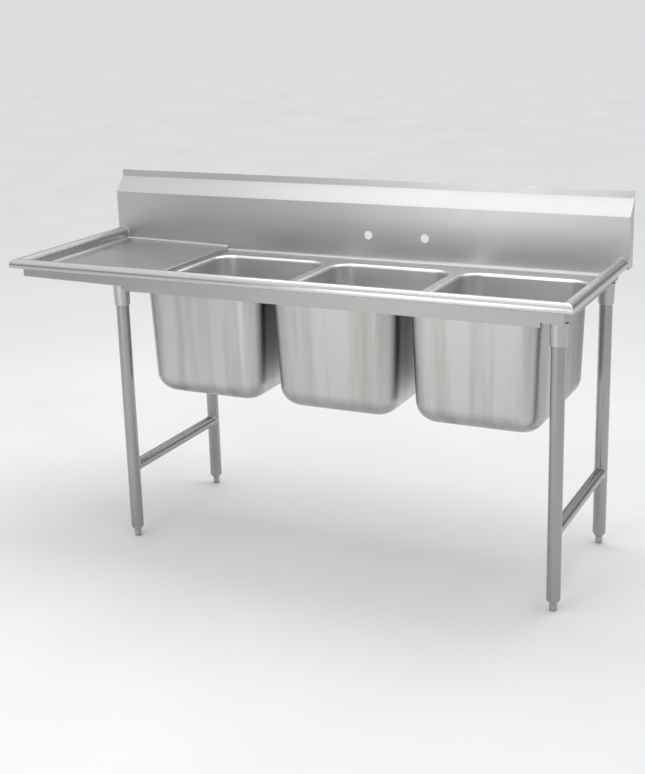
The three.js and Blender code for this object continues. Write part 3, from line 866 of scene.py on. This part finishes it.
def skirt(name, marks, bottom_at, to_point, material):
    """Hanging sheet with a small return flange into the roll; bottom_at gives its lower edge."""
    flange = ROLL_WIDTH - SHEET - GAP
    path = fillet([(SKIRT_INSET, 0.0), (SKIRT_INSET, SKIRT_TOP), (flange, SKIRT_TOP)], 3.0, 5)

    def put(u, v, s):
        return to_point(u, bottom_at(s) if v < 1.0 else v, s)

    make_node(name, sweep_strip(path, SHEET, marks, put), material, "top_steel", edge=0.3)


SKIRT_STEP_LEFT = 420.0
SKIRT_BOARD_END = 865.0
SKIRT_STEP_RIGHT = 1781.0
SKIRT_DEEP = drawing_box("skirt_front")[4]
SKIRT_SHALLOW = drawing_box("skirt_right")[4]
SKIRT_LEFT = drawing_box("skirt_left")[4]
RELIEF = 2.2
RELIEF_RISE = 3.0


def front_skirt_bottom(x):
    """Lower edge of the front skirt: deep under the bowls, with a small relief notch at the right."""
    if x < SKIRT_STEP_LEFT:
        t = (x - SKIRT_INSET) / (SKIRT_STEP_LEFT - SKIRT_INSET)
        return SKIRT_LEFT + (SKIRT_BOARD_END - SKIRT_LEFT) * t
    if x < SKIRT_STEP_RIGHT:
        return SKIRT_DEEP
    if x < SKIRT_STEP_RIGHT + RELIEF:
        return SKIRT_SHALLOW + RELIEF_RISE
    return SKIRT_SHALLOW


steps_at = (SKIRT_STEP_LEFT, SKIRT_STEP_RIGHT, SKIRT_STEP_RIGHT + RELIEF)
breaks = [x + d for x in steps_at for d in (-0.01, 0.01)]
skirt("skirt_front", stations(SKIRT_INSET, LENGTH - SKIRT_INSET, 40, breaks), front_skirt_bottom,
      lambda u, v, s: (s, u, v), skirt_steel)
side_marks = stations(SKIRT_INSET + SHEET + GAP, SPLASH_Y - GAP, 40)
skirt("skirt_left", side_marks, lambda s: SKIRT_LEFT, lambda u, v, s: (u, s, v), side_skirt_steel)
skirt("skirt_right", side_marks, lambda s: SKIRT_SHALLOW, lambda u, v, s: (LENGTH - u, s, v),
      side_skirt_steel)


# ---------- bowls ----------

TAPER = 8.0
BOTTOM_RADIUS = 64.0
DRAIN_HOLE = 44.5
BOWL_FLOOR = drawing_box("bowl_left")[4] + SHEET
FLOOR_PITCH = 1.6


def bowl_levels():
    """(inset, height) down the inside wall, from the opening to the end of the bottom bend.

    The inset is measured from the top of the wall, so it is negative over the lip.
    """
    levels = []
    lip_z = DECK_TOP - LIP_RADIUS
    for i in range(11):
        a = math.radians(9 * i)
        levels.append((LIP_RADIUS * math.sin(a) - LIP_RADIUS, lip_z + LIP_RADIUS * math.cos(a)))
    bend_z = BOWL_FLOOR + FLOOR_PITCH + BOTTOM_RADIUS
    for i in range(1, 9):
        t = i / 9
        levels.append((TAPER * t, lip_z + (bend_z - lip_z) * t))
    bend_inset = TAPER + BOTTOM_RADIUS
    for i in range(15):
        a = math.radians(90 * i / 14)
        levels.append((bend_inset - BOTTOM_RADIUS * math.cos(a), bend_z - BOTTOM_RADIUS * math.sin(a)))
    return levels


def plan_radius(inset):
    if inset < 0:
        return BOWL_CORNER_RADIUS - inset
    return BOWL_CORNER_RADIUS - max(0.0, inset - TAPER) * 0.75


def bowl(side, seed):
    """Drawn bowl: rolled lip, tapering walls, wide bottom bend and a floor pitched to the drain."""
    cx, cy = bowl_place(side)
    shape = Shape()
    rows = []
    for inset, z in bowl_levels():
        outline = rounded_rectangle(BOWL_HALF_X - inset, BOWL_HALF_Y - inset, plan_radius(inset),
                                    DECK_ARC_STEPS, BOWL_SIDE_X, BOWL_SIDE_Y)
        row = []
        for x, y in outline:
            fade = min(1.0, max(0.0, (DECK_TOP - 20 - z) / 60), max(0.0, (z - BOWL_FLOOR) / 60))
            swell = 0.45 * fade * noise.noise(Vector((x * 0.008, y * 0.008, z * 0.006 + seed)))
            reach = math.hypot(x, y)
            row.append((cx + x + swell * x / reach, cy + y + swell * y / reach, z))
        rows.append(row)
    last = [(x - cx, y - cy) for x, y, _ in rows[-1]]
    flat = rows[-1][0][2]
    for k in range(1, 9):
        t = k / 8
        radius = 58.0
        row = []
        for x, y in last:
            reach = math.hypot(x, y)
            px = x + (x / reach * radius - x) * t
            py = y + (y / reach * radius - y) * t
            row.append((cx + px, cy + py, flat - FLOOR_PITCH * (1 - (1 - t) ** 1.6)))
        rows.append(row)
    for radius in (51.0, DRAIN_HOLE):
        rows.append([(cx + x / math.hypot(x, y) * radius, cy + y / math.hypot(x, y) * radius, BOWL_FLOOR)
                     for x, y in last])
    shape.grid(rows, close_columns=True)
    make_sheet(f"bowl_{side}", to_bmesh(shape), (0, 0, 1), bowl_steel)


for index, name in enumerate(SIDES):
    bowl(name, 3.3 * index)


# ---------- drains ----------

def drain_body(side):
    """Flange, cup and threaded outlet; heights are measured from the bowl's floor."""
    cx, cy = bowl_place(side)
    profile = [(43.6, 0.3), (55.6, 0.3)] + arc(55.6, 1.3, 1.0, -90, 60, 6)
    profile += [(51.0, 2.85), (47.5, 3.0), (45.4, 2.6), (44.2, 1.9), (43.0, 1.0)]
    profile += [(41.9, -0.2), (41.2, -1.6), (41.0, -3.0)] + arc(37.4, -33.4, 3.6, 0, -70, 6)
    profile += [(21.8, -40.4), (20.6, -41.2), (20.0, -42.4), (20.0, -51.8), (20.4, -52.4), (23.6, -52.4)]
    for i in range(3):
        z = -51.4 + i * 2.1
        profile += [(23.2, z), (24.0, z + 0.5), (24.0, z + 0.9), (23.2, z + 1.4)]
    profile += [(23.4, -44.8), (24.5, -44.1), (39.6, -40.2)] + arc(39.2, -35.8, 4.4, -66, 0, 6)
    for i in range(7):
        z = -33.1 + i * 2.3
        profile += [(43.1, z), (43.6, z + 0.5), (43.6, z + 0.9), (43.1, z + 1.4)]
    profile += [(43.6, -3.6)]
    shape = lathe([(r, BOWL_FLOOR + z) for r, z in profile], cx, cy, 72)
    make_node(f"drain_body_{side}", shape, drain_steel, "drain_steel", angle=28)


def drain_gasket(side):
    cx, cy = bowl_place(side)
    x0, x1, _, _, z0, z1 = drawing_box(f"drain_gasket_{side}")
    outer = (x1 - x0) / 2
    mid = (z0 + z1) / 2
    rim = [(outer - 1.2 + 1.2 * math.cos(math.radians(a)), mid + (z1 - z0) / 2 * math.sin(math.radians(a)))
           for a in range(-90, 91, 20)]
    profile = [(43.9, z0)] + rim + [(43.9, z1)]
    make_node(f"drain_gasket_{side}", lathe(profile, cx, cy, 64), gasket_rubber, "gasket_rubber")


def drain_locknut(side):
    """Ring nut with six rounded lugs."""
    cx, cy = bowl_place(side)
    z0, z1 = drawing_box(f"drain_locknut_{side}")[4:6]
    wide = [(53.0, z0 + 0.7), (53.0, z1 - 1.2)]
    profile = [(43.9, z0), (52.4, z0), *wide, (52.4, z1), (43.9, z1), (43.9, z1 - 3.0)]

    def lug(angle, z):
        phase = math.degrees(angle) % 60
        phase = min(phase, 60 - phase)
        return 4.0 * min(1.0, max(0.0, (6.4 - phase) / 1.6)) if (53.0, z) in wide else 0.0

    shape = lathe(profile, cx, cy, 144, lug)
    make_node(f"drain_locknut_{side}", shape, drain_steel, "drain_steel", edge=0.3)


def strainer(side):
    """Basket with slotted side, perforated floor and a knob on a post."""
    cx, cy = bowl_place(side)
    bm = bmesh.new()
    steps = 96
    slots = {(4, (s + k) % steps) for s in range(0, steps, 12) for k in (-1, 0)}
    profile = [(41.6, 0.8), (40.4, -0.2), (38.0, -2.8), (37.9, -6.6), (37.9, -8.6), (37.9, -24.6),
               (37.9, -29.1), (37.2, -31.6), (35.6, -33.0), (34.0, -33.5)]
    base = BOWL_FLOOR - 33.5
    rows = []
    for radius, z in profile:
        ring = circle(cx, cy, radius, steps)
        rows.append([bm.verts.new(place(x, y, BOWL_FLOOR + z)) for x, y in ring])
    skin_rows(bm, rows, closed=True, skip=slots)
    holes = []
    for count, ring_radius in ((8, 13.0), (14, 21.5), (20, 29.0)):
        for hole_x, hole_y in circle(cx, cy, ring_radius, count):
            holes.append([bm.verts.new(place(x, y, base)) for x, y in circle(hole_x, hole_y, 2.1, 12)])
    fill_plane(bm, [rows[-1], *holes], (0, 0, 1))
    bm.normal_update()
    flat = [f for f in bm.faces if abs(f.normal.z) > 0.9]
    if sum(f.normal.z * f.calc_area() for f in flat) < 0:
        bmesh.ops.reverse_faces(bm, faces=bm.faces)
    thicken(bm, -1.1)
    bmesh.ops.recalc_face_normals(bm, faces=bm.faces)
    finish_piece(f"strainer_basket_{side}", bm, drain_steel, f"strainer_{side}_body",
                 [f"strainer_{side}"], recalc=False)
    post = [(0.0, -32.6), (5.4, -32.6), (5.4, -31.0), (3.1, -30.0), (2.7, -27.6), (2.7, -2.6), (3.0, -0.9)]
    post += arc(2.8, 5.0, 5.2, -72, 78, 14)
    post += [(0.0, 10.3)]
    shape = lathe([(r, BOWL_FLOOR + z) for r, z in post], cx, cy, 40)
    make(f"strainer_post_{side}", shape, drain_steel, "drain_steel", f"strainer_{side}_body")


for name in SIDES:
    drain_body(name)
    drain_gasket(name)
    drain_locknut(name)
    strainer(name)


# ---------- under structure ----------

def channel():
    """Folded channel under the drainboard that carries the two left legs."""
    x0, x1, y0, y1, web, _ = drawing_box("drainboard_channel")

    def under(x):
        return board_top(x) - SHEET - GAP

    path = fillet([(x0, under(x0)), (x0, web), (x1, web), (x1, under(x1))], 4.0, 6)
    shape = sweep_strip(path, -2.0, stations(y0, y1, 60), lambda u, v, s: (u, s, v))
    make_node("drainboard_channel", shape, under_steel, "top_steel", edge=0.3)


def socket_plate(name):
    """Plate with clipped corners that carries a right-hand leg socket."""
    x0, x1, y0, y1, z0, z1 = drawing_box(name)
    clip = 6.0
    outline = [(x0 + clip, y0), (x1 - clip, y0), (x1, y0 + clip), (x1, y1 - clip),
               (x1 - clip, y1), (x0 + clip, y1), (x0, y1 - clip), (x0, y0 + clip)]
    shape = prism([(x, y, z0) for x, y in outline], [(x, y, z1) for x, y in outline])
    make_node(name, shape, under_steel, "top_steel", edge=0.4)


channel()
socket_plate("socket_plate_front_right")
socket_plate("socket_plate_rear_right")


# ---------- legs ----------

LEG_RADIUS = (drawing_box("leg_front_left")[1] - drawing_box("leg_front_left")[0]) / 2
TUBE_WALL = 1.65


def leg_centre(corner):
    return centre(f"leg_{corner}")


def leg_socket(corner):
    """Tapered cast sleeve with a rounded lower edge, a set screw hole and a weld round its top."""
    cx, cy = leg_centre(corner)
    bottom, top = drawing_box(f"leg_socket_{corner}")[4:6]
    profile = [(0.0, top - 4.0), (21.0, top - 4.0), (21.0, bottom + 1.0), (21.4, bottom + 0.4)]
    profile += arc(22.0, bottom + 2.4, 2.4, -75, 4, 7)
    for i in range(1, 9):
        t = i / 8
        profile.append((24.42 + (25.7 - 24.42) * t, bottom + 4 + (top - 2 - bottom - 4) * t))
    profile += [(26.0, top - 1.0), (26.0, top), (0.0, top)]

    def wobble(a, z):
        return 0.09 * noise.noise(Vector((math.cos(a) * 2.2, math.sin(a) * 2.2, z * 0.05 + cx)))

    sleeve = lathe(profile, cx, cy, 80, wobble)
    make_node(f"leg_socket_{corner}", sleeve, socket_steel, "socket_steel", angle=40)
    reach = 26.2
    path = [(x, y, top - 1.2) for x, y in arc(cx, cy, reach, 90, 450, 132)]
    normals = [(x - cx, y - cy, -0.7 * reach) for x, y, _ in path]
    make(f"weld_socket_{corner}", bead(path, normals, 1.5, cx + cy, pitch=2.9), weld_metal, "socket_steel")
    boss = Shape()
    out = cy + 24.9
    axis_z = (drawing_box(f"set_screw_{corner}")[4] + drawing_box(f"set_screw_{corner}")[5]) / 2
    rows = []
    for radius, depth in ((4.3, -2.2), (6.6, -1.2), (6.9, -0.2), (6.3, 0.5), (4.6, 0.5), (4.2, 0.1),
                          (4.2, -2.2)):
        rows.append([(x, out + depth, z) for x, z in circle(cx, axis_z, radius, 36)])
    boss.grid(rows, close_rows=True, close_columns=True)
    make(f"set_screw_boss_{corner}", boss, socket_steel, "socket_steel")


def set_screw(corner):
    """Socket set screw: threaded body with a hexagonal recess."""
    x0, x1, y0, y1, z0, z1 = drawing_box(f"set_screw_{corner}")
    cx, cz, radius = (x0 + x1) / 2, (z0 + z1) / 2, (x1 - x0) / 2
    shape = Shape()
    length = y1 - y0
    rows = []

    def ring(r, depth, sides=0):
        reach = (lambda a: polygon_reach(a, r, sides)) if sides else r
        rows.append([(x, y0 + depth, z) for x, z in circle(cx, cz, reach, 36)])

    ring(radius - 1.2, 0.0)
    ring(radius - 0.3, 0.8)
    depth = 1.4
    while depth < length - 1.2:
        ring(radius, depth)
        ring(radius - 0.35, depth + 0.45)
        depth += 0.9
    ring(radius, length - 0.6)
    ring(radius - 0.5, length)
    ring(2.4, length, 6)
    ring(2.2, length - 3.4, 6)
    rows = shape.grid(rows, close_columns=True)
    shape.fan(rows[0], (cx, y0, cz))
    shape.fan(rows[-1], (cx, y1 - 3.4, cz))
    make_node(f"set_screw_{corner}", shape, screw_steel, "screw_steel", angle=30)


def leg_tube(corner):
    cx, cy = leg_centre(corner)
    bottom, top = drawing_box(f"leg_{corner}")[4:6]
    inner = LEG_RADIUS - TUBE_WALL
    heights = stations(bottom + 0.5, top - 0.5, 60)
    profile = [(inner, bottom + 0.3), (inner + 0.3, bottom), (LEG_RADIUS - 0.3, bottom)]
    profile += [(LEG_RADIUS, z) for z in heights]
    profile += [(LEG_RADIUS - 0.3, top), (inner + 0.3, top), (inner, top - 0.3)]
    profile += [(inner, z) for z in reversed(heights[1:-1])]
    make_node(f"leg_{corner}", lathe(profile, cx, cy, 80), leg_steel, "tube_steel")


def foot_collar(corner):
    """Insert closing the tube: a rounded shoulder under the tube and a plug inside it."""
    cx, cy = leg_centre(corner)
    bottom, top = drawing_box(f"foot_collar_{corner}")[4:6]
    profile = [(8.3, bottom + 0.8), (9.1, bottom), (12.2, bottom)]
    profile += arc(12.2, bottom + 1.4, 1.4, -90, -38, 4)
    profile += [(17.4, bottom + 6.5)] + arc(14.9, bottom + 9.9, 4.4, -38, 0, 5)
    profile += [(20.3, 36.2), (20.6, 37.0), (20.6, 37.7), (20.3, 38.0), (18.6, 38.0), (18.6, 70.8),
                (17.4, top), (8.3, top)]
    make_node(f"foot_collar_{corner}", lathe(profile, cx, cy, 72), foot_steel, "foot_steel", angle=30)


def foot(corner):
    """Adjustable foot: domed sole, hexagon with chamfered corners and a threaded stud."""
    cx, cy = leg_centre(corner)
    steps = 96
    turn = 0.26
    shape = Shape()
    levels = [(11.0, 0.0, 0), (11.45, 0.35, 0), (11.6, 1.0, 0), (11.6, 2.7, 0), (11.2, 3.3, 0),
              (10.0, 3.9, 0), (9.9, 4.6, 0), (10.3, 5.2, 1), (11.4, 6.2, 1), (11.4, 22.3, 1),
              (10.3, 23.2, 1), (9.6, 23.7, 0), (8.0, 23.7, 0)]
    rows = []
    for radius, z, six in levels:
        reach = (lambda a: min(polygon_reach(a - turn, 11.4, 6), radius)) if six else radius
        rows.append([(x, y, z) for x, y in circle(cx, cy, reach, steps, turn)])
    z = 24.2
    while z < 65.0:
        for radius, rise in ((7.95, 0.0), (7.95, 0.3), (7.2, 0.85), (7.2, 1.15)):
            rows.append([(x, y, z + rise) for x, y in circle(cx, cy, radius, steps, turn)])
        z += 1.6
    rows = shape.grid(rows, close_columns=True)
    shape.fan(rows[0], (cx, cy, 0.0))
    shape.fan(rows[-1], (cx, cy, 65.8))
    name = f"foot_{corner}"
    make_node(name, shape, foot_steel, "foot_steel", body=f"{name}_body", angle=26)


for name in CORNERS:
    leg_socket(name)
    set_screw(name)
    leg_tube(name)
    foot_collar(name)
    foot(name)


# ---------- side rails ----------

def side_rail(name, front, rear):
    """Tube coped to the two legs, with a weld bead round each saddle joint."""
    x0, x1, _, _, z0, z1 = drawing_box(name)
    cx, cz, radius = (x0 + x1) / 2, (z0 + z1) / 2, (z1 - z0) / 2
    _, front_y = leg_centre(front)
    _, rear_y = leg_centre(rear)
    steps = 72

    def saddle(a, r, gap=0.35):
        return math.sqrt(max(0.0, (LEG_RADIUS + gap) ** 2 - (r * math.cos(a)) ** 2))

    def ring(r, t):
        row = []
        for i in range(steps):
            a = 2 * math.pi * i / steps
            start = front_y + saddle(a, r)
            end = rear_y - saddle(a, r)
            row.append((cx + r * math.cos(a), start + (end - start) * t, cz + r * math.sin(a)))
        return row

    shares = [i / 8 for i in range(9)]
    rows = [ring(radius, t) for t in shares] + [ring(radius - TUBE_WALL, t) for t in reversed(shares)]
    shape = Shape()
    shape.grid(rows, close_rows=True, close_columns=True)
    make_node(name, shape, rail_steel, "tube_steel")
    for corner, y, sign in ((front, front_y, 1), (rear, rear_y, -1)):
        path = []
        normals = []
        for i in range(121):
            a = 2 * math.pi * i / 120 - 0.5 * math.pi
            path.append((cx + (radius + 0.3) * math.cos(a), y + sign * (saddle(a, radius) + 0.5),
                         cz + (radius + 0.3) * math.sin(a)))
            normals.append((math.cos(a) * 0.8, sign * 0.7, math.sin(a)))
        make(f"weld_rail_{corner}", bead(path, normals, 2.0, y, pitch=2.8), weld_metal, "tube_steel")


side_rail("side_rail_left", "front_left", "rear_left")
side_rail("side_rail_right", "front_right", "rear_right")


# ---------- floor, lights and camera ----------

def floor():
    shape = Shape()
    size = 400000.0
    marks = stations(-size, size, 2 * size / 22)
    shape.grid([[(x, y, 0.0) for x in marks] for y in marks])
    n = Nodes(bpy.data.materials.new("studio_floor_paint"))
    haze = n.noise(1.4, 3.0, 0.5)
    shader = n.tree.nodes["Principled BSDF"].inputs
    colour = n.mix(n.span(haze, 0.3, 0.7, 0, 1), (0.80, 0.80, 0.80), (0.84, 0.84, 0.84))
    n.feed(shader["Base Color"], colour)
    n.feed(shader["Roughness"], 0.9)
    piece = add_mesh("studio_floor", to_bmesh(shape), n.owner)


def area_light(name, position, target, size, power):
    data = bpy.data.lights.new(name, "AREA")
    data.shape = "RECTANGLE"
    data.size, data.size_y = size
    data.energy = power
    light = add_object(name, data)
    aim = Vector(target) - Vector(position)
    light.location = position
    light.rotation_euler = aim.to_track_quat("-Z", "Y").to_euler()


def world():
    """Studio surround: lights from overhead, is greyer at the horizon and looks pale behind the floor."""
    scene_world = bpy.data.worlds.new("studio")
    bpy.context.scene.world = scene_world
    n = Nodes(scene_world)
    direction = n.new("ShaderNodeTexCoord").outputs["Generated"]
    split = n.new("ShaderNodeSeparateXYZ", {0: direction})
    feeds = {"Value": split.outputs["Z"], "From Min": 0.12, "From Max": 0.62, "To Min": 0.24, "To Max": 1.0}
    height = n.new("ShaderNodeMapRange", feeds, interpolation_type="SMOOTHSTEP")
    camera_ray = n.new("ShaderNodeLightPath").outputs["Is Camera Ray"]
    seen = n.new("ShaderNodeMix", {"Factor": camera_ray, "A": height.outputs["Result"], "B": 0.80})
    n.feed(n.tree.nodes["Background"].inputs["Color"], seen.outputs["Result"])


def camera():
    """Camera at the photographed angle, placed by yaw, pitch and roll."""
    yaw, pitch, roll = (math.radians(a) for a in (-26.2, -15.4, -1.6))
    forward = Vector((math.sin(yaw) * math.cos(pitch), math.cos(yaw) * math.cos(pitch), math.sin(pitch)))
    right = Vector((math.cos(yaw), -math.sin(yaw), 0.0))
    up = right.cross(forward)
    tilt_right = right * math.cos(roll) + up * math.sin(roll)
    tilt_up = up * math.cos(roll) - right * math.sin(roll)
    data = bpy.data.cameras.new("camera")
    data.sensor_width = 36.0
    data.lens = 61.5395
    data.shift_y = -0.052584
    data.clip_end = 1500.0
    view = add_object("camera", data)
    turn = Matrix((tilt_right, tilt_up, -forward)).transposed().to_4x4()
    view.matrix_world = Matrix.Translation(place(2788.2, -3362.0, 1776.6)) @ turn
    bpy.context.scene.camera = view


floor()
world()
area_light("overhead", (0.2, 0.7, 3.2), (0.2, 0.0, 0.8), (3.2, 1.6), 34.0)
area_light("roll_highlight", (-0.2, -1.1, 3.4), (0.0, -0.3, 0.9), (2.8, 0.7), 3.5)
area_light("front_left", (-0.7, -3.7, 1.4), (0.4, 0.3, 1.0), (1.1, 1.9), 24.0)
camera()

bpy.context.scene.view_settings.view_transform = "Standard"
